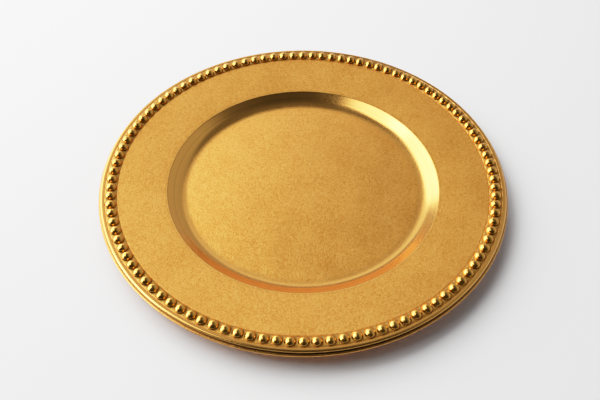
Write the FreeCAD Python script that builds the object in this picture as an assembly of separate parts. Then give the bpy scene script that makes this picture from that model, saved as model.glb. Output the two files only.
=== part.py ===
import FreeCAD, Part
import math
import os

# Paten plate: a round, wide-rimmed dish of gilt brass, 330 mm across and about 21 mm tall.
#
# It comes apart, once unsoldered, into four pieces:
#   dish         one spun sheet: flat floor, curved wall, broad rising rim, a shallow channel
#                pressed near its edge, a narrow land, and a turned-down skirt
#   bead_border  a strip of struck half-round pearls, bent to a ring and seated in the channel
#   edge_wire    a round-fronted wire run round the foot of the skirt, which stiffens the rim
#   foot_ring    a low ring under the floor, which the plate stands on
#
# Millimetres. The axis of the plate is +Z, and z = 0 is the surface that the foot stands on.

# Overall sizes
plate_diameter = 330.0      # over the edge wire
well_diameter = 222.0       # across the crease where the wall of the well meets the rim
well_depth = 7.5            # floor to crease, on the upper face
rim_angle = 8.4             # rise of the rim from the crease to the edge, in degrees
sheet_thickness = 1.0

# Well
wall_angle = 35.0           # slope of the wall of the well, in degrees
floor_bend = 15.0           # inside radius where the floor turns up into the wall
crease_bend = 1.5           # radius over the crease, on the upper face

# Bead border
bead_length = 8.8           # across the rim
bead_width = 8.2            # along the rim
bead_height = 3.7           # above the strip
bead_root = 0.4             # how far the flat base of a bead lies inside the strip
bead_gap = 0.96             # between one bead and the next
strip_margin = 0.35         # strip left bare on each side of the beads
strip_thickness = 0.6
strip_clearance = 0.08      # solder gap between the strip and each side of its channel

# Edge
land_width = 3.4            # from the channel to the outside of the skirt
lip_bend = 1.5              # radius over the lip, on the upper face
skirt_depth = 4.8           # from the lip down to the foot of the skirt
channel_top_bend = 0.35     # radius over each shoulder of the channel
channel_floor_bend = 0.1    # radius at the foot of each shoulder
channel_wall_angle = 65.0   # slope of each shoulder against the rim, in degrees
wire_height = 1.8
wire_depth = 1.65           # how far the wire stands out from the skirt

# Foot
foot_height = 2.0
foot_width = 2.6            # of the face that stands on the table
foot_flare = 0.7            # how much wider the ring is on each side where it is soldered on
foot_setback = 9.0          # from the edge of the flat floor in to the middle of the ring

# Worked out from the sizes above
AXIS = FreeCAD.Vector(0, 0, 1)
ORIGIN = FreeCAD.Vector(0, 0, 0)
wall_slope = math.tan(math.radians(wall_angle))
rim_slope = math.tan(math.radians(rim_angle))
rim_cosine = math.cos(math.radians(rim_angle))
floor_z = foot_height + sheet_thickness
crease_radius = well_diameter / 2
crease_z = floor_z + well_depth
wall_foot_radius = crease_radius - well_depth / wall_slope      # where wall and floor would meet
flat_floor_radius = wall_foot_radius - floor_bend * math.tan(math.radians(wall_angle / 2))
skirt_radius = plate_diameter / 2 - wire_depth
lip_z = crease_z + (skirt_radius - crease_radius) * rim_slope
skirt_foot_z = lip_z - skirt_depth
strip_width = bead_length + 2 * strip_margin
channel_floor_width = strip_width + 2 * strip_clearance
channel_shoulder = strip_thickness / math.tan(math.radians(channel_wall_angle))
channel_width = channel_floor_width + 2 * channel_shoulder
border_radius = skirt_radius - (land_width + channel_width / 2) * rim_cosine
bead_count = int(2 * math.pi * border_radius / (bead_width + bead_gap))
foot_radius = flat_floor_radius - foot_setback


def at(radius, z):
    """A point of a section, which lies in the plane y = 0."""
    return FreeCAD.Vector(radius, 0, z)


def on_rim(along, above):
    """A point by its distance outwards along the rim from the middle of the bead border,
    and its height over the rim's upper face, both measured square to the rim."""
    sine = rim_slope * rim_cosine
    rim_z = crease_z + (border_radius - crease_radius) * rim_slope
    return at(border_radius + along * rim_cosine - above * sine,
              rim_z + along * sine + above * rim_cosine)


def unit(vector):
    return vector / vector.Length


def turn_between(before, after):
    """The signed turn from one direction to the next in the section, in radians."""
    cross = before.x * after.z - before.z * after.x
    return math.atan2(cross, before.dot(after))


def rounded_path(corners, bends):
    """Lines through the corners, with an arc of the given radius at each inner corner."""
    edges = []
    start = corners[0]
    for before, corner, after, bend in zip(corners, corners[1:], corners[2:], bends):
        arriving = unit(corner - before)
        leaving = unit(after - corner)
        turn = abs(turn_between(arriving, leaving))
        reach = bend * math.tan(turn / 2)
        arc_start = corner - arriving * reach
        arc_end = corner + leaving * reach
        if bend > 1e-6:
            to_middle = unit(leaving - arriving)
            middle = corner + to_middle * (bend / math.cos(turn / 2) - bend)
            edges.append(Part.LineSegment(start, arc_start).toShape())
            edges.append(Part.Arc(arc_start, middle, arc_end).toShape())
        else:
            edges.append(Part.LineSegment(start, corner).toShape())
        start = arc_end
    edges.append(Part.LineSegment(start, corners[-1]).toShape())
    return edges


def offset_corners(corners, distance):
    """The corners of the same path moved to its right, which is the underside of a sheet."""
    directions = [unit(b - a) for a, b in zip(corners, corners[1:])]
    rights = [FreeCAD.Vector(d.z, 0, -d.x) for d in directions]
    moved = [corners[0] + rights[0] * distance]
    for corner, before, after in zip(corners[1:], rights, rights[1:]):
        bisector = before + after
        moved.append(corner + bisector * (2 * distance / bisector.dot(bisector)))
    moved.append(corners[-1] + rights[-1] * distance)
    return moved


def sheet_section(corners, bends, thickness):
    """The closed section of a bent sheet, from the corners and bend radii of its upper face."""
    directions = [unit(b - a) for a, b in zip(corners, corners[1:])]
    turns = [turn_between(a, b) for a, b in zip(directions, directions[1:])]
    under_bends = [bend + math.copysign(thickness, turn) for bend, turn in zip(bends, turns)]
    under_corners = offset_corners(corners, thickness)
    upper = rounded_path(corners, bends)
    under = rounded_path(under_corners, [max(bend, 0.0) for bend in under_bends])
    ends = [Part.LineSegment(corners[0], under_corners[0]).toShape(),
            Part.LineSegment(corners[-1], under_corners[-1]).toShape()]
    return Part.Wire(Part.__sortEdges__(upper + under + ends))


def turned(section):
    """A closed section revolved once round the plate's axis."""
    return Part.Face(section).revolve(ORIGIN, AXIS, 360)


def make_dish():
    shoulder = channel_width / 2
    bed = channel_floor_width / 2
    corners = [
        at(0, floor_z),
        at(wall_foot_radius, floor_z),
        at(crease_radius, crease_z),
        on_rim(-shoulder, 0),
        on_rim(-bed, -strip_thickness),
        on_rim(bed, -strip_thickness),
        on_rim(shoulder, 0),
        at(skirt_radius, lip_z),
        at(skirt_radius, skirt_foot_z),
    ]
    bends = [floor_bend, crease_bend, channel_top_bend, channel_floor_bend,
             channel_floor_bend, channel_top_bend, lip_bend]
    return turned(sheet_section(corners, bends, sheet_thickness))


def make_bead():
    """The upper half of an egg-shaped bead, with its length along +X and its base on z = 0."""
    outline = Part.makeCircle(1, ORIGIN, AXIS, 0, 180)
    chord = Part.makeLine(FreeCAD.Vector(-1, 0, 0), FreeCAD.Vector(1, 0, 0))
    side = Part.Face(Part.Wire([outline, chord]))
    half_ball = side.revolve(ORIGIN, FreeCAD.Vector(-1, 0, 0), -180)
    stretch = FreeCAD.Matrix()
    stretch.scale(bead_length / 2, bead_width / 2, bead_height + bead_root)
    return half_ball.transformGeometry(stretch)


def make_bead_border():
    half = strip_width / 2
    section = Part.makePolygon([on_rim(-half, -strip_thickness), on_rim(half, -strip_thickness),
                                on_rim(half, 0), on_rim(-half, 0),
                                on_rim(-half, -strip_thickness)])
    strip = turned(section)
    bead = make_bead()
    bead.rotate(ORIGIN, FreeCAD.Vector(0, 1, 0), -rim_angle)
    bead.translate(on_rim(0, -bead_root))
    beads = []
    for number in range(bead_count):
        copy = bead.copy()
        copy.rotate(ORIGIN, AXIS, 360.0 * number / bead_count)
        beads.append(copy)
    return strip.fuse(beads)


def make_edge_wire():
    nose = wire_height / 2
    straight = wire_depth - nose
    low = skirt_foot_z
    high = skirt_foot_z + wire_height
    middle = skirt_foot_z + nose
    front = skirt_radius + straight
    edges = [
        Part.LineSegment(at(skirt_radius, low), at(front, low)).toShape(),
        Part.Arc(at(front, low), at(front + nose, middle), at(front, high)).toShape(),
        Part.LineSegment(at(front, high), at(skirt_radius, high)).toShape(),
        Part.LineSegment(at(skirt_radius, high), at(skirt_radius, low)).toShape(),
    ]
    return turned(Part.Wire(edges))


def make_foot_ring():
    half = foot_width / 2
    inner = foot_radius - half
    outer = foot_radius + half
    section = Part.makePolygon([at(inner, 0), at(outer, 0),
                                at(outer + foot_flare, foot_height),
                                at(inner - foot_flare, foot_height), at(inner, 0)])
    return turned(section)


def main():
    os.makedirs("parts", exist_ok=True)
    pieces = {
        "dish": make_dish(),
        "bead_border": make_bead_border(),
        "edge_wire": make_edge_wire(),
        "foot_ring": make_foot_ring(),
    }
    for name, shape in pieces.items():
        shape.exportStep(f"parts/{name}.step")
        box = shape.optimalBoundingBox()
        print(f"{name}: {len(shape.Solids)} solid, valid {shape.isValid()}, "
              f"{shape.Volume / 1000:.1f} cm3, z {box.ZMin:.2f} to {box.ZMax:.2f}, "
              f"{box.XLength:.2f} mm across")
    print(f"{bead_count} beads on a circle of radius {border_radius:.2f}")


main()
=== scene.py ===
import math

import bpy
from mathutils import Matrix, Vector


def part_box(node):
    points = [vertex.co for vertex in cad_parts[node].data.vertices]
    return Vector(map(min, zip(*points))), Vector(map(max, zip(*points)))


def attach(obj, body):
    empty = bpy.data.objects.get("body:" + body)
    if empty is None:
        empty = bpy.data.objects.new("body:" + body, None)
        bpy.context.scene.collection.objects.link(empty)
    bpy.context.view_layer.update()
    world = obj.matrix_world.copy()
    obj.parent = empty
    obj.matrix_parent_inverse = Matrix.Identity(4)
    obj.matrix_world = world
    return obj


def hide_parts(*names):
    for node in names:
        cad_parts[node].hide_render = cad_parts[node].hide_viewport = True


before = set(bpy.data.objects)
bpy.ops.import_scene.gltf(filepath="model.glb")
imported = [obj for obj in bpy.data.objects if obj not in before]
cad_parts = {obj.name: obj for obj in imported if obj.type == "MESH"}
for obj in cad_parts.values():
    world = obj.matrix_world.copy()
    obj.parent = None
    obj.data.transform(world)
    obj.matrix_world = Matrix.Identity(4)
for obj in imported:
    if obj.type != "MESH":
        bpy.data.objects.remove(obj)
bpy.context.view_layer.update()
mm = 0.001

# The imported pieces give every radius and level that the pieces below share.
dishLow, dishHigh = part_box("dish")
wireLow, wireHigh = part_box("edge_wire")
footLow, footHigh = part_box("foot_ring")
plateRadius = wireHigh.x
skirtRadius = dishHigh.x
print("frame loaded, plate", round(plateRadius * 2 / mm, 1), "mm across")


def turnBetween(before, after):
    # signed angle from one 2D direction to the next, left turns positive
    return math.atan2(before.x * after.y - before.y * after.x, before.dot(after))


def roundedPath(corners, bends, arcStep=math.radians(7), edgeLoop=0.35 * mm, longest=9 * mm):
    # points along a bent line: arcs at the inner corners, and points beside each arc to hold its shading
    points = [corners[0]]
    start = corners[0]

    def runTo(end):
        direction = end - start
        length = direction.length
        if length < 1e-7:
            return
        unit = direction / length
        marks = [length]
        if length > 3 * edgeLoop:
            middle = length - 2 * edgeLoop
            count = max(1, math.ceil(middle / longest))
            marks = [edgeLoop + middle * i / count for i in range(count + 1)] + [length]
        for mark in marks:
            points.append(start + unit * mark)

    for before, corner, after, bend in zip(corners, corners[1:], corners[2:], bends):
        arriving = (corner - before).normalized()
        leaving = (after - corner).normalized()
        turn = turnBetween(arriving, leaving)
        reach = bend * math.tan(abs(turn) / 2)
        runTo(corner - arriving * reach)
        side = math.copysign(1, turn)
        centre = corner - arriving * reach + Vector((-arriving.y, arriving.x)) * side * bend
        spoke = (corner - arriving * reach) - centre
        steps = max(3, math.ceil(abs(turn) / arcStep))
        for i in range(1, steps + 1):
            points.append(centre + Matrix.Rotation(turn * i / steps, 2) @ spoke)
        start = points[-1]
    runTo(corners[-1])
    return points


def sectionObject(name, points):
    # the section as a line of edges in the XZ plane, which the spinning tree turns into a round piece
    mesh = bpy.data.meshes.new(name)
    mesh.from_pydata([(p.x, 0, p.y) for p in points], [(i, i + 1) for i in range(len(points) - 1)], [])
    piece = bpy.data.objects.new(name, mesh)
    bpy.context.scene.collection.objects.link(piece)
    return piece


def newTree(name, sockets):
    tree = bpy.data.node_groups.new(name, "GeometryNodeTree")
    tree.interface.new_socket("Geometry", in_out="INPUT", socket_type="NodeSocketGeometry")
    for socketName, kind, value in sockets:
        socket = tree.interface.new_socket(socketName, in_out="INPUT", socket_type=kind)
        if value is not None:
            socket.default_value = value
    tree.interface.new_socket("Geometry", in_out="OUTPUT", socket_type="NodeSocketGeometry")
    return tree


def addNode(tree, kind, inputs=None, **settings):
    node = tree.nodes.new(kind)
    for key, value in settings.items():
        setattr(node, key, value)
    for key, value in (inputs or {}).items():
        socket = node.inputs[key]
        if isinstance(value, bpy.types.NodeSocket):
            tree.links.new(value, socket)
        else:
            socket.default_value = value
    return node


def addMath(tree, operation, first, second=0.0):
    return addNode(tree, "ShaderNodeMath", {0: first, 1: second}, operation=operation).outputs[0]


def addVector(tree, operation, inputs, output=0):
    return addNode(tree, "ShaderNodeVectorMath", inputs, operation=operation).outputs[output]


def addRange(tree, value, start=0.0, end=1.0, low=0.0, high=1.0, kind="LINEAR"):
    # carries a value from one range to another
    limits = {"Value": value, "From Min": start, "From Max": end, "To Min": low, "To Max": high}
    return addNode(tree, "ShaderNodeMapRange", limits, interpolation_type=kind).outputs[0]


def addMix(tree, factor, first, second):
    return addNode(tree, "ShaderNodeMix", {0: factor, 6: first, 7: second}, data_type="RGBA").outputs[2]


def radiusFrom(tree, place):
    # distance from the plate's axis
    flat = addVector(tree, "MULTIPLY", {0: place, 1: (1, 1, 0)})
    return addVector(tree, "LENGTH", {0: flat}, "Value")


def finishTree(tree, geometry, material):
    # smooth shaded, real and in its finish
    smooth = addNode(tree, "GeometryNodeSetShadeSmooth", {"Geometry": geometry})
    real = addNode(tree, "GeometryNodeRealizeInstances", {"Geometry": smooth.outputs[0]})
    finished = addNode(tree, "GeometryNodeSetMaterial", {"Geometry": real.outputs[0], "Material": material})
    addNode(tree, "NodeGroupOutput", {0: finished.outputs[0]})
    return tree


def applyTree(piece, tree, values):
    # inputs are set by their identifiers, then the result becomes a plain mesh and the modifier goes
    modifier = piece.modifiers.new(tree.name, "NODES")
    modifier.node_group = tree
    for item in tree.interface.items_tree:
        if item.item_type == "SOCKET" and item.in_out == "INPUT" and item.name in values:
            modifier[item.identifier] = values[item.name]
    graph = bpy.context.evaluated_depsgraph_get()
    mesh = bpy.data.meshes.new_from_object(piece.evaluated_get(graph))
    mesh.name = piece.name
    piece.modifiers.remove(modifier)
    piece.data = mesh
    print(piece.name, len(mesh.polygons), "faces")
    return piece


def spinTree(fadeWidth=20 * mm):
    # sweeps a section round the plate's axis, with a little unevenness like that of hand spinning
    tree = newTree("spinRound", [
        ("Steps", "NodeSocketInt", 360),
        ("Path Radius", "NodeSocketFloat", 0.1),
        ("Unevenness", "NodeSocketFloat", 0.0),
        ("Ripple Size", "NodeSocketFloat", 0.06),
        ("Even Outside", "NodeSocketFloat", 0.14),
        ("Seed", "NodeSocketFloat", 3.0),
        ("Material", "NodeSocketMaterial", None),
    ])
    given = addNode(tree, "NodeGroupInput").outputs
    drawn = addNode(tree, "GeometryNodeInputPosition").outputs[0]
    place = addNode(tree, "ShaderNodeSeparateXYZ", {0: drawn}).outputs
    flat = addNode(tree, "ShaderNodeCombineXYZ", {
        "X": addMath(tree, "SUBTRACT", place["X"], given["Path Radius"]),
        "Y": addMath(tree, "MULTIPLY", place["Z"], -1.0)})
    laid = addNode(tree, "GeometryNodeSetPosition", {
        "Geometry": given["Geometry"], "Position": flat.outputs[0]})
    profile = addNode(tree, "GeometryNodeMeshToCurve", {"Mesh": laid.outputs[0]})
    path = addNode(tree, "GeometryNodeCurvePrimitiveCircle", {
        "Resolution": given["Steps"], "Radius": given["Path Radius"]})
    swept = addNode(tree, "GeometryNodeCurveToMesh", {
        "Curve": path.outputs[0], "Profile Curve": profile.outputs[0]})
    merged = addNode(tree, "GeometryNodeMergeByDistance", {
        "Geometry": swept.outputs[0], "Distance": 2e-6})

    position = addNode(tree, "GeometryNodeInputPosition").outputs[0]
    perRipple = addMath(tree, "DIVIDE", 1.0, given["Ripple Size"])
    scaled = addVector(tree, "SCALE", {0: position, "Scale": perRipple})
    ripple = addNode(tree, "ShaderNodeTexNoise", {
        "Vector": scaled, "W": given["Seed"], "Scale": 1.0, "Detail": 1.0}, noise_dimensions="4D")
    radius = radiusFrom(tree, position)
    fadeStart = addMath(tree, "SUBTRACT", given["Even Outside"], fadeWidth)
    fade = addRange(tree, radius, fadeStart, given["Even Outside"], 1.0, 0.0, "SMOOTHSTEP")
    lift = addMath(tree, "MULTIPLY", addMath(tree, "SUBTRACT", ripple.outputs[0], 0.5), given["Unevenness"])
    lift = addMath(tree, "MULTIPLY", lift, fade)
    offset = addNode(tree, "ShaderNodeCombineXYZ", {"Z": lift})
    uneven = addNode(tree, "GeometryNodeSetPosition", {
        "Geometry": merged.outputs[0], "Offset": offset.outputs[0]})
    return finishTree(tree, uneven.outputs[0], given["Material"])


gilding = {
    "gold": (0.93, 0.39, 0.062),
    "deepGold": (0.78, 0.29, 0.038),
    "paleGold": (1.0, 0.48, 0.098),
    # a near-black brown that paints shade into corners and between the beads
    "paintedShade": (0.055, 0.024, 0.006),
    "lacquer": 0.12,
    "lacquerRoughness": 0.28,
    "satinRoughness": 0.42,
    "polishedRoughness": 0.2,
    "grainSize": 1.8 * mm,
    "fineGrainSize": 0.9 * mm,
    "grainDepth": 0.2 * mm,
    "fineGrainShare": 0.45,
    "curlScale": 0.35,            # size and reach of the curl in the grain, against the grain's own size
    "curlReach": 1.6,
    "toneRange": (0.36, 0.64),    # how much of the grain's noise goes from deep to pale
    "cloudScale": 38.0,
    "patchRange": (0.3, 0.7),
    "roughnessSpread": 0.07,
}


def giltMaterial(name, look):
    look = {**gilding, **look}
    material = bpy.data.materials.new(name)
    material.use_nodes = True
    tree = material.node_tree
    tree.nodes.clear()
    surface = addNode(tree, "ShaderNodeBsdfPrincipled", {
        "Metallic": 1.0, "Coat Weight": look["lacquer"], "Coat Roughness": look["lacquerRoughness"]})
    addNode(tree, "ShaderNodeOutputMaterial", {0: surface.outputs[0]})
    place = addNode(tree, "ShaderNodeTexCoord").outputs["Object"]

    # how satin each place is: 1 on the grained flats, 0 on the burnished wall, beads and edge
    satin = look["satin"](tree, place)

    size = look["grainSize"]
    warp = addNode(tree, "ShaderNodeTexNoise", {
        "Vector": place, "Scale": look["curlScale"] / size, "Detail": 2.0})
    warp = addVector(tree, "SUBTRACT", {0: warp.outputs["Color"], 1: (0.5, 0.5, 0.5)})
    warp = addVector(tree, "SCALE", {0: warp, "Scale": look["curlReach"] * size})
    warped = addVector(tree, "ADD", {0: place, 1: warp})
    grain = addNode(tree, "ShaderNodeTexNoise", {
        "Vector": warped, "Scale": 1 / size, "Detail": 3.0, "Roughness": 0.6, "Distortion": 0.6}).outputs[0]
    fine = addNode(tree, "ShaderNodeTexNoise", {
        "Vector": warped, "Scale": 1 / look["fineGrainSize"], "Detail": 2.0, "Roughness": 0.5}).outputs[0]
    cloud = addNode(tree, "ShaderNodeTexNoise", {
        "Vector": place, "Scale": look["cloudScale"], "Detail": 4.0, "Roughness": 0.62}).outputs[0]
    patch = addMath(tree, "SUBTRACT", addRange(tree, cloud, *look["patchRange"]), 0.5)

    # grain and clouds shift the gold between deep and pale
    mottle = addMath(tree, "ADD", addMath(tree, "MULTIPLY", grain, 0.5), addMath(tree, "MULTIPLY", fine, 0.5))
    tone = addRange(tree, mottle, *look["toneRange"])
    grainTone = addMath(tree, "MULTIPLY", addMath(tree, "SUBTRACT", tone, 0.5),
                        addMath(tree, "MULTIPLY", satin, look["grainTone"]))
    patchTone = addMath(tree, "MULTIPLY", patch, look["patchTone"])
    blend = addMath(tree, "ADD", addMath(tree, "ADD", grainTone, patchTone), 0.5)
    ramp = addNode(tree, "ShaderNodeValToRGB", {"Fac": blend})
    stops = ramp.color_ramp.elements
    stops[0].color = (*look["deepGold"], 1)
    stops[1].color = (*look["paleGold"], 1)
    middle = stops.new(0.5)
    middle.color = (*look["gold"], 1)
    colour = ramp.outputs[0]
    if "burnished" in look:
        colour = addMix(tree, satin, (*look["burnished"], 1), colour)
    if "creviceShade" in look:
        # painted shade in the corners and between the beads, mixing the gold towards a near-black brown
        colour = addMix(tree, look["creviceShade"](tree, place), colour, (*look["paintedShade"], 1))
    tree.links.new(colour, surface.inputs["Base Color"])

    rough = addRange(tree, satin, low=look["polishedRoughness"], high=look["satinRoughness"])
    spread = addMath(tree, "MULTIPLY", patch, look["roughnessSpread"])
    tree.links.new(addMath(tree, "ADD", rough, spread), surface.inputs["Roughness"])

    height = addMath(tree, "ADD", grain, addMath(tree, "MULTIPLY", fine, look["fineGrainShare"]))
    depth = addRange(tree, satin, low=look["burnishedGrain"], high=1.0)
    bump = addNode(tree, "ShaderNodeBump", {
        "Strength": depth, "Distance": look["grainDepth"], "Height": height})
    tree.links.new(bump.outputs[0], surface.inputs["Normal"])
    return material


def satinFlats(inner, outer, blur):
    # satin on the floor and on the rim; burnished on the wall between two radii, and outside the land
    def build(tree, place):
        radius = radiusFrom(tree, place)
        floor = addRange(tree, radius, inner - blur, inner, 1.0, 0.0, "SMOOTHSTEP")
        rim = addRange(tree, radius, outer, outer + dish["rimFade"], kind="SMOOTHSTEP")
        edge = addRange(tree, radius, landStart - dish["landFade"], landStart, 1.0, 0.0)
        return addMath(tree, "ADD", floor, addMath(tree, "MULTIPLY", rim, edge))
    return build


def evenly(amount):
    # the same amount everywhere
    def build(tree, place):
        height = addNode(tree, "ShaderNodeSeparateXYZ", {0: place}).outputs["Z"]
        return addRange(tree, height, low=amount, high=amount)
    return build


def attributeValue(attribute):
    def build(tree, place):
        return addNode(tree, "ShaderNodeAttribute", attribute_name=attribute).outputs["Fac"]
    return build


def cornerRings(rings):
    # painted shade: dark rings round the plate, each given by its radius, half its width, and how dark it is
    def build(tree, place):
        radius = radiusFrom(tree, place)
        total = 0.0
        for middle, reach, depth in rings:
            distance = addMath(tree, "ABSOLUTE", addMath(tree, "SUBTRACT", radius, middle))
            ring = addRange(tree, distance, 0.0, reach, depth, 0.0, "SMOOTHSTEP")
            total = addMath(tree, "ADD", ring, total)
        return total
    return build


def attributeSatin(attribute):
    def build(tree, place):
        return addMath(tree, "SUBTRACT", 1.0, attributeValue(attribute)(tree, place))
    return build


dish = {
    "sheetThickness": 1.0 * mm,
    "wellDiameter": 222.0 * mm,
    "wellDepth": 7.5 * mm,
    "wallAngle": math.radians(35),
    "rimAngle": math.radians(8.4),
    "floorBend": 15.0 * mm,
    "creaseBend": 1.5 * mm,
    "lipBend": 1.5 * mm,
    "hemBend": 0.2 * mm,
    "bedBend": 0.1 * mm,          # corners of the channel that the beads lie in
    "tightestBend": 0.15 * mm,    # least bend on the underside
    "spinSteps": 440,
    "unevenness": 0.12 * mm,
    "rippleSize": 55 * mm,
    "evenMargin": 2 * mm,         # how far inside the beads the ripples stop
    "floorSatinPast": 2 * mm,     # how far past the foot of the wall the floor's satin ends
    "floorFade": 9 * mm,
    "rimSatinBefore": 0.5 * mm,
    "rimFade": 1.5 * mm,
    "landFade": 0.8 * mm,
    # painted shade rings by where they are measured from, the distance outside it, half the width, and how
    # dark
    "darkRings": (
        ("crease", 1.6 * mm, 0.4 * mm, 0.3),
        ("crease", -0.2 * mm, 0.7 * mm, 0.2),
        ("crease", -5.0 * mm, 0.9 * mm, 0.16),
        ("wallFoot", -1.5 * mm, 7.0 * mm, 0.16),
        ("land", 0.3 * mm, 1.8 * mm, 0.12),
        # the skirt ring paints a near-black shade line under the lip
        ("skirt", 0.0, 0.3 * mm, 0.97)),
    "look": {"grainTone": 1.5, "patchTone": 0.35, "burnishedGrain": 0.04, "burnished": (0.94, 0.43, 0.085)},
}
border = {
    "beadLength": 8.8 * mm,
    "beadWidth": 8.2 * mm,
    "beadHeight": 3.7 * mm,
    "beadGap": 0.96 * mm,
    "stripMargin": 0.35 * mm,
    "stripThickness": 0.6 * mm,
    "stripClearance": 0.08 * mm,
    "landWidth": 3.4 * mm,
    "shoulderAngle": math.radians(65),
    "shoulderBend": 0.35 * mm,
    "footFillet": 0.3 * mm,
    "stripEdge": 0.08 * mm,       # small bevel along the strip
    "pointsPerSide": 6,
    "domeRings": 7,
    "domeSpread": 0.9,            # how evenly the rings of points are spread down the dome
    "shadeRise": 4,             # how late the painted shade comes on towards the foot
    "domeShade": 0.6,
    "filletPolishAndShade": ((1, 0.9, 0.85), (2, 0.6, 0.9), (3, 0.25, 0.6)),    # step, polish and painted shade
    "stripShade": 0.3,
    "unevenness": 0.2 * mm,
    "seed": 11,
    "look": {
        "grainTone": 0.4, "patchTone": 0.3, "burnishedGrain": 0.1, "lacquer": 0.05, "polishedRoughness": 0.19,
        "gold": (0.93, 0.44, 0.075), "deepGold": (0.84, 0.36, 0.055), "paleGold": (0.98, 0.50, 0.10)},
}

rimSlope = math.tan(dish["rimAngle"])
rimCosine = math.cos(dish["rimAngle"])
rimSine = math.sin(dish["rimAngle"])
floorLevel = dishLow.z + dish["sheetThickness"]
creaseRadius = dish["wellDiameter"] / 2
creaseLevel = floorLevel + dish["wellDepth"]
wallFootRadius = creaseRadius - dish["wellDepth"] / math.tan(dish["wallAngle"])
lipLevel = creaseLevel + (skirtRadius - creaseRadius) * rimSlope
stripWidth = border["beadLength"] + 2 * border["stripMargin"]
bedWidth = stripWidth + 2 * border["stripClearance"]
channelWidth = bedWidth + 2 * border["stripThickness"] / math.tan(border["shoulderAngle"])
ringRadius = skirtRadius - (border["landWidth"] + channelWidth / 2) * rimCosine
ringLevel = creaseLevel + (ringRadius - creaseRadius) * rimSlope
landStart = ringRadius + channelWidth / 2 * rimCosine
beadCount = int(2 * math.pi * ringRadius / (border["beadWidth"] + border["beadGap"]))


def onRim(along, above):
    # a point by its place along the rim from the middle of the beads, and its height over the rim
    return Vector((
        ringRadius + along * rimCosine - above * rimSine,
        ringLevel + along * rimSine + above * rimCosine))


def offsetCorners(corners, distance):
    # the same bent line moved to its right, which is the underside of the sheet
    directions = [(b - a).normalized() for a, b in zip(corners, corners[1:])]
    rights = [Vector((d.y, -d.x)) for d in directions]
    moved = [corners[0] + rights[0] * distance]
    for corner, before, after in zip(corners[1:], rights, rights[1:]):
        bisector = before + after
        moved.append(corner + bisector * (2 * distance / bisector.length_squared))
    moved.append(corners[-1] + rights[-1] * distance)
    return moved


def dishLook():
    # the dish's dark rings are painted shade at the crease, the foot of the wall, the land and the skirt
    marks = {"crease": creaseRadius, "wallFoot": wallFootRadius, "land": landStart, "skirt": skirtRadius}
    rings = [(marks[mark] + away, reach, depth) for mark, away, reach, depth in dish["darkRings"]]
    satin = satinFlats(
        wallFootRadius + dish["floorSatinPast"], creaseRadius - dish["rimSatinBefore"], dish["floorFade"])
    return {**dish["look"], "satin": satin, "creviceShade": cornerRings(rings)}


def makeDish(tree):
    thickness = dish["sheetThickness"]
    shoulder, bed, deep = channelWidth / 2, bedWidth / 2, border["stripThickness"]
    corners = [
        Vector((0, floorLevel)), Vector((wallFootRadius, floorLevel)), Vector((creaseRadius, creaseLevel)),
        onRim(-shoulder, 0), onRim(-bed, -deep), onRim(bed, -deep), onRim(shoulder, 0),
        Vector((skirtRadius, lipLevel)), Vector((skirtRadius, wireLow.z))]
    bends = [dish["floorBend"], dish["creaseBend"], border["shoulderBend"], dish["bedBend"],
             dish["bedBend"], border["shoulderBend"], dish["lipBend"]]
    turns = [turnBetween(b - a, c - b) for a, b, c in zip(corners, corners[1:], corners[2:])]
    underBends = [max(bend + math.copysign(thickness, turn), dish["tightestBend"])
                  for bend, turn in zip(bends, turns)]
    under = offsetCorners(corners, thickness)
    hem = dish["hemBend"]
    path = roundedPath(corners + under[::-1], bends + [hem, hem] + underBends[::-1])
    piece = sectionObject("dish_spun", path)
    return applyTree(piece, tree, {
        "Steps": dish["spinSteps"], "Unevenness": dish["unevenness"], "Ripple Size": dish["rippleSize"],
        "Even Outside": ringRadius - channelWidth / 2 - dish["evenMargin"],
        "Material": giltMaterial("satinGilt", dishLook())})


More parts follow.
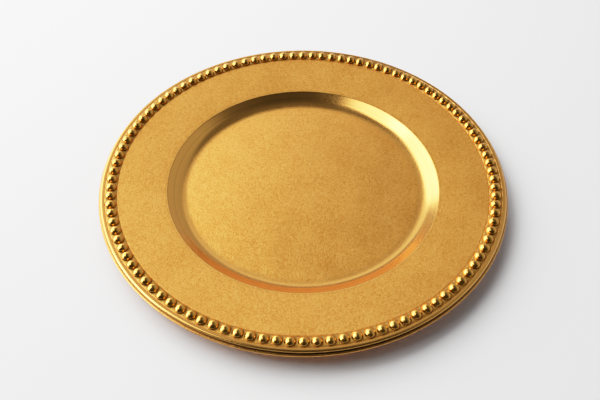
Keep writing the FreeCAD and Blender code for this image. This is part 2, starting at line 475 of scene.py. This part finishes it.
def beadTile():
    # one bead on its strip, laid flat: X runs along the strip, Y across it, Z up from its face
    halfPitch = math.pi * ringRadius / beadCount
    halfWidth = stripWidth / 2
    halfBead = border["beadWidth"] / 2
    halfLength = border["beadLength"] / 2
    sunk = halfBead - border["beadHeight"]
    fillet = border["footFillet"]
    edge = border["stripEdge"]
    perSide = border["pointsPerSide"]
    angles = [math.radians(-45 + 90 * i / perSide) for i in range(perSide)]
    directions = []
    for quarter in range(4):
        for angle in angles:
            directions.append((angle, quarter))

    def squarePoint(angle, quarter):
        u, v = 1.0, math.tan(angle)
        for _ in range(quarter):
            u, v = -v, u
        return u, v

    def dome(share, outwards, level):
        ring = []
        for angle, quarter in directions:
            turn = angle + quarter * math.pi / 2
            ring.append((math.cos(turn) * (halfBead * share + outwards),
                         math.sin(turn) * (halfLength * share + outwards), level))
        return ring

    footAngle = math.asin((sunk + fillet) / halfBead)
    # rings of points from the top of the bead to the strip, each with its polish and painted shade
    rings = []
    domeRings = border["domeRings"]
    for i in range(1, domeRings + 1):
        climb = math.pi / 2 + (footAngle - math.pi / 2) * (i / domeRings) ** border["domeSpread"]
        paintedShade = (i / domeRings) ** border["shadeRise"] * border["domeShade"]
        rings.append((dome(math.cos(climb), 0, halfBead * math.sin(climb) - sunk), 1.0, paintedShade))
    footShare = math.cos(footAngle)
    for i, polish, creviceShade in border["filletPolishAndShade"]:
        sweep = math.pi / 2 * i / 3
        ring = dome(footShare, fillet * (1 - math.cos(sweep)), fillet * (1 - math.sin(sweep)))
        rings.append((ring, polish, creviceShade))
    face = []
    for angle, quarter in directions:
        u, v = squarePoint(angle, quarter)
        face.append((u * halfPitch, v * (halfWidth - edge), 0.0))
    # the strip's face between the beads is darkened with painted shade
    rings.append((face, 0.0, border["stripShade"]))

    points = [(0.0, 0.0, border["beadHeight"])]
    polishes, creviceShades = [1.0], [0.0]
    for ring, polish, creviceShade in rings:
        points += ring
        polishes += [polish] * len(ring)
        creviceShades += [creviceShade] * len(ring)
    # the strip's own points stay put when a bead is knocked out of line
    shares = [1.0] * (len(points) - len(face)) + [0.0] * len(face)
    around = len(directions)
    faces = [(0, 1 + i, 1 + (i + 1) % around) for i in range(around)]
    for k in range(len(rings) - 1):
        inner, outer = 1 + k * around, 1 + (k + 1) * around
        for i in range(around):
            j = (i + 1) % around
            faces.append((inner + i, outer + i, outer + j, inner + j))

    # the strip's two long edges and its back
    last = 1 + (len(rings) - 1) * around
    far = [last + perSide + i for i in range(perSide + 1)]           # y = +halfWidth, from +x to -x
    near = [last + (3 * perSide + i) % around for i in range(perSide + 1)]   # y = -halfWidth, from -x to +x
    deep = -border["stripThickness"]

    def copyRow(row, y, z):
        first = len(points)
        for index in row:
            points.append((points[index][0], y, z))
            polishes.append(0.0)
            creviceShades.append(0.0)
            shares.append(0.0)
        return list(range(first, first + len(row)))

    def join(upper, lower):
        for a, b, c, d in zip(upper, upper[1:], lower[1:], lower):
            faces.append((b, a, d, c))

    farTop = copyRow(far, halfWidth, -edge)
    farBack = copyRow(far, halfWidth, deep)
    nearTop = copyRow(near, -halfWidth, -edge)
    nearBack = copyRow(near, -halfWidth, deep)
    join(far, farTop)
    join(farTop, farBack)
    join(near, nearTop)
    join(nearTop, nearBack)
    join(farBack, nearBack[::-1])

    mesh = bpy.data.meshes.new("bead_border_struck")
    mesh.from_pydata(points, [], faces)
    # polish sets the roughness, and the darkness stored beside it is painted shade
    for name, values in (("polish", polishes), ("creviceShade", creviceShades), ("beadShare", shares)):
        mesh.attributes.new(name, "FLOAT", "POINT").data.foreach_set("value", values)
    tile = bpy.data.objects.new("bead_border_struck", mesh)
    bpy.context.scene.collection.objects.link(tile)
    return tile


def beadTree():
    # strikes a row of beads, gives each its own small faults, and bends the strip to a ring
    tree = newTree("beadRing", [
        ("Beads", "NodeSocketInt", 100),
        ("Ring Radius", "NodeSocketFloat", 0.15),
        ("Ring Level", "NodeSocketFloat", 0.015),
        ("Rim Angle", "NodeSocketFloat", 0.1),
        ("Unevenness", "NodeSocketFloat", 0.0001),
        ("Seed", "NodeSocketInt", 1),
        ("Material", "NodeSocketMaterial", None),
    ])
    given = addNode(tree, "NodeGroupInput").outputs
    length = addMath(tree, "MULTIPLY", given["Ring Radius"], 2 * math.pi)
    pitch = addMath(tree, "DIVIDE", length, given["Beads"])
    spacing = addNode(tree, "ShaderNodeCombineXYZ", {"X": pitch})
    row = addNode(tree, "GeometryNodeMeshLine", {
        "Count": given["Beads"], "Offset": spacing.outputs[0]}, mode="OFFSET")
    copies = addNode(tree, "GeometryNodeInstanceOnPoints", {
        "Points": row.outputs[0], "Instance": given["Geometry"]})
    index = addNode(tree, "GeometryNodeInputIndex").outputs[0]
    numbered = addNode(tree, "GeometryNodeStoreNamedAttribute", {
        "Geometry": copies.outputs[0], "Name": "beadNumber", "Value": index},
        data_type="INT", domain="INSTANCE")
    real = addNode(tree, "GeometryNodeRealizeInstances", {"Geometry": numbered.outputs[0]})

    number = addNode(tree, "GeometryNodeInputNamedAttribute", {"Name": "beadNumber"}, data_type="INT")
    share = addNode(tree, "GeometryNodeInputNamedAttribute", {"Name": "beadShare"}, data_type="FLOAT")
    reach = addMath(tree, "MULTIPLY", given["Unevenness"], share.outputs[0])
    shift = addNode(tree, "FunctionNodeRandomValue", {
        "Min": (-1, -1, 0), "Max": (1, 1, 0), "ID": number.outputs[0], "Seed": given["Seed"]},
        data_type="FLOAT_VECTOR")
    shift = addVector(tree, "SCALE", {0: shift.outputs[0], "Scale": reach})
    shifted = addNode(tree, "GeometryNodeSetPosition", {"Geometry": real.outputs[0], "Offset": shift})

    # along the strip becomes round the plate, and the strip leans with the rim
    position = addNode(tree, "GeometryNodeInputPosition").outputs[0]
    place = addNode(tree, "ShaderNodeSeparateXYZ", {0: position}).outputs
    sine = addMath(tree, "SINE", given["Rim Angle"])
    cosine = addMath(tree, "COSINE", given["Rim Angle"])
    angle = addMath(tree, "DIVIDE", place["X"], given["Ring Radius"])
    outwards = addMath(tree, "SUBTRACT", addMath(tree, "MULTIPLY", place["Y"], cosine),
                       addMath(tree, "MULTIPLY", place["Z"], sine))
    outwards = addMath(tree, "ADD", given["Ring Radius"], outwards)
    level = addMath(tree, "ADD", addMath(tree, "MULTIPLY", place["Y"], sine),
                    addMath(tree, "MULTIPLY", place["Z"], cosine))
    bent = addNode(tree, "ShaderNodeCombineXYZ", {
        "X": addMath(tree, "MULTIPLY", outwards, addMath(tree, "SINE", angle)),
        "Y": addMath(tree, "MULTIPLY", outwards, addMath(tree, "COSINE", angle)),
        "Z": addMath(tree, "ADD", given["Ring Level"], level)})
    ring = addNode(tree, "GeometryNodeSetPosition", {
        "Geometry": shifted.outputs[0], "Position": bent.outputs[0]})
    merged = addNode(tree, "GeometryNodeMergeByDistance", {"Geometry": ring.outputs[0], "Distance": 4e-6})
    return finishTree(tree, merged.outputs[0], given["Material"])


def makeBeadBorder():
    piece = beadTile()
    # the beads take painted shade towards their feet and between them
    look = {**border["look"], "satin": attributeSatin("polish"), "creviceShade": attributeValue("creviceShade")}
    return applyTree(piece, beadTree(), {
        "Beads": beadCount, "Ring Radius": ringRadius, "Ring Level": ringLevel,
        "Rim Angle": dish["rimAngle"], "Unevenness": border["unevenness"], "Seed": border["seed"],
        "Material": giltMaterial("polishedGilt", look)})


edgeWire = {
    "backBend": 0.05 * mm,
    "noseShare": 0.999,           # how nearly the front is a full half round
    "spinSteps": 440,
    "look": {
        "satin": evenly(0.3), "grainTone": 0.3, "patchTone": 0.4, "burnishedGrain": 0.15,
        "gold": (0.62, 0.27, 0.055), "deepGold": (0.50, 0.20, 0.035), "paleGold": (0.75, 0.36, 0.085)},
}
footRing = {
    "topWidth": 4.0 * mm,
    "flare": 0.7 * mm,            # how much wider each side is at the top than at the table
    "edgeBend": 0.25 * mm,
    "topBend": 0.05 * mm,
    "spinSteps": 360,
    "look": {"satin": evenly(0.8), "grainTone": 0.7, "patchTone": 0.6, "burnishedGrain": 0.3},
}


def closedSection(corners, bends):
    # a closed bent line, started at the middle of a side and run clockwise so that its faces point outwards
    start = (corners[0] + corners[-1]) / 2
    return roundedPath([start] + corners[::-1] + [start], bends[::-1], longest=2 * mm)


def makeEdgeWire(tree):
    low, high = wireLow.z, wireHigh.z
    nose = (high - low) / 2 * edgeWire["noseShare"]
    square = edgeWire["backBend"]
    front = plateRadius
    back = skirtRadius
    corners = [Vector((back, low)), Vector((front, low)), Vector((front, high)), Vector((back, high))]
    piece = sectionObject("edge_wire_drawn", closedSection(corners, [square, nose, nose, square]))
    return applyTree(piece, tree, {
        "Steps": edgeWire["spinSteps"], "Unevenness": 0.0,
        "Material": giltMaterial("edgeGilt", edgeWire["look"])})


def makeFootRing(tree):
    low, high = footLow.z, footHigh.z
    outerTop = footHigh.x
    innerTop = outerTop - footRing["topWidth"]
    flare = footRing["flare"]
    bend, top = footRing["edgeBend"], footRing["topBend"]
    corners = [Vector((innerTop, high)), Vector((innerTop + flare, low)),
               Vector((outerTop - flare, low)), Vector((outerTop, high))]
    piece = sectionObject("foot_ring_turned", closedSection(corners, [top, bend, bend, top]))
    return applyTree(piece, tree, {
        "Steps": footRing["spinSteps"], "Unevenness": 0.0,
        "Material": giltMaterial("footGilt", footRing["look"])})


spin = spinTree()
dishPiece = makeDish(spin)
borderPiece = makeBeadBorder()
wirePiece = makeEdgeWire(spin)
footPiece = makeFootRing(spin)
for piece, node, slot in (
        (dishPiece, "dish", "satin_gilt"),
        (borderPiece, "bead_border", "polished_gilt"),
        (wirePiece, "edge_wire", "edge_gilt"),
        (footPiece, "foot_ring", "foot_gilt")):
    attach(piece, "root")
    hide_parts(node)
print("pieces made")


studio = {
    "tableColour": (0.86, 0.86, 0.86),
    "tableRoughness": 0.6,
    "tableGloss": 0.2,
    "tableSize": 6.0,
    "cameraDistance": 0.600,
    "cameraRise": math.radians(48.9),
    "aim": Vector((-0.00254, -0.02144, 0.0105)),
    "lens": 44.8,
    "sensorWidth": 36,
    "roomDark": 0.035,
    "roomLeft": 0.44,
    "roomRight": 0.50,
    "ceiling": 0.3,
    # where the room changes from left to right, towards the ceiling, and from dark to pale
    "acrossRange": (-0.3, 0.35),
    "aboveRange": (0.74, 0.82),
    "awayRange": (-0.72, -0.15),
    "awayShares": (0.8, 0.35),
    # brightness going in and coming out, which rolls the highlights off softly
    "shoulder": (
        (0.0, 0.0), (0.3, 0.29), (0.64, 0.546), (1.0, 0.716),
        (1.45, 0.847), (2.6, 0.975), (3.5, 1.0), (5.0, 1.0)),
}
# each softbox by its bearing, rise and distance from the plate, its width and height,
# and how bright its face is
softboxes = {
    "keySoftbox": {
        "bearing": 153, "rise": 32, "distance": 2.2, "width": 2.5, "height": 1.9, "radiance": 4.6},
    "keyTop": {
        "bearing": 184, "rise": 56, "distance": 2.2, "width": 1.3, "height": 0.9, "radiance": 4.2},
    "beadLamp": {
        "bearing": 188, "rise": 18, "distance": 2.2, "width": 1.2, "height": 0.8, "radiance": 13},
    "backPanel": {
        "bearing": 118, "rise": 35, "distance": 0.86, "width": 0.92, "height": 0.42, "radiance": 1.15},
    "tableFill": {
        "bearing": 122, "rise": 50, "distance": 2.2, "width": 2.4, "height": 1.6, "radiance": 4.2},
}


def makeTable():
    half = studio["tableSize"] / 2
    mesh = bpy.data.meshes.new("table")
    corners = [(-half, -half, 0), (half, -half, 0), (half, half, 0), (-half, half, 0)]
    mesh.from_pydata(corners, [], [(0, 1, 2, 3)])
    table = bpy.data.objects.new("table", mesh)
    bpy.context.scene.collection.objects.link(table)
    material = bpy.data.materials.new("paleTable")
    material.use_nodes = True
    surface = material.node_tree.nodes["Principled BSDF"]
    surface.inputs["Base Color"].default_value = (*studio["tableColour"], 1)
    surface.inputs["Roughness"].default_value = studio["tableRoughness"]
    surface.inputs["Specular IOR Level"].default_value = studio["tableGloss"]
    mesh.materials.append(material)


def makeRoom():
    # a room that is pale behind the plate and dark at the camera's end
    world = bpy.data.worlds.new("studioRoom")
    bpy.context.scene.world = world
    world.use_nodes = True
    tree = world.node_tree
    tree.nodes.clear()
    direction = addNode(tree, "ShaderNodeTexCoord").outputs["Generated"]
    parts = addNode(tree, "ShaderNodeSeparateXYZ", {0: direction}).outputs
    across = addRange(
        tree, parts["X"], *studio["acrossRange"], studio["roomLeft"], studio["roomRight"], "SMOOTHSTEP")
    above = addRange(tree, parts["Z"], *studio["aboveRange"], 1.0, studio["ceiling"], "SMOOTHSTEP")
    backShare, riseShare = studio["awayShares"]
    away = addMath(tree, "SUBTRACT", addMath(tree, "MULTIPLY", parts["Y"], backShare),
                   addMath(tree, "MULTIPLY", parts["Z"], riseShare))
    pale = addMath(tree, "MULTIPLY", across, above)
    depth = addRange(tree, away, *studio["awayRange"], studio["roomDark"], pale, "SMOOTHSTEP")
    glow = addNode(tree, "ShaderNodeBackground", {"Color": (1, 1, 1, 1), "Strength": depth})
    addNode(tree, "ShaderNodeOutputWorld", {0: glow.outputs[0]})


def makeSoftbox(name, box):
    bearing, rise = math.radians(box["bearing"]), math.radians(box["rise"])
    towards = Vector((
        math.cos(rise) * math.cos(bearing), math.cos(rise) * math.sin(bearing), math.sin(rise)))
    light = bpy.data.lights.new(name, "AREA")
    light.shape = "RECTANGLE"
    light.size = box["width"]
    light.size_y = box["height"]
    light.energy = box["radiance"] * math.pi * box["width"] * box["height"]
    lamp = bpy.data.objects.new(name, light)
    lamp.location = towards * box["distance"]
    lamp.rotation_euler = towards.to_track_quat("Z", "Y").to_euler()
    # the fill lights only the table, and the bead lamp shows only in the metal
    lamp.visible_glossy = name != "tableFill"
    lamp.visible_diffuse = name != "beadLamp"
    bpy.context.scene.collection.objects.link(lamp)


def makeCamera():
    camera = bpy.data.cameras.new("camera")
    camera.lens = studio["lens"]
    camera.sensor_width = studio["sensorWidth"]
    rise = studio["cameraRise"]
    eye = bpy.data.objects.new("camera", camera)
    eye.location = studio["aim"] + studio["cameraDistance"] * Vector((0, -math.cos(rise), math.sin(rise)))
    eye.rotation_euler = (math.pi / 2 - rise, 0, 0)
    bpy.context.scene.collection.objects.link(eye)
    bpy.context.scene.camera = eye


def setFilm():
    view = bpy.context.scene.view_settings
    view.view_transform = "Standard"
    view.use_curve_mapping = True
    mapping = view.curve_mapping
    points = studio["shoulder"]
    mapping.use_clip = False
    brightest = points[-1][0]
    mapping.clip_max_x = brightest
    # the three colours run straight to the brightest value, and the shared curve does the shaping
    for channel in mapping.curves[:3]:
        channel.points[1].location = (brightest, brightest)
    curve = mapping.curves[3]
    curve.points[1].location = points[-1]
    for point in points[1:-1]:
        curve.points.new(*point)
    mapping.extend = "HORIZONTAL"
    mapping.update()


makeTable()
makeRoom()
for name, box in softboxes.items():
    makeSoftbox(name, box)
makeCamera()
setFilm()
print("studio made")
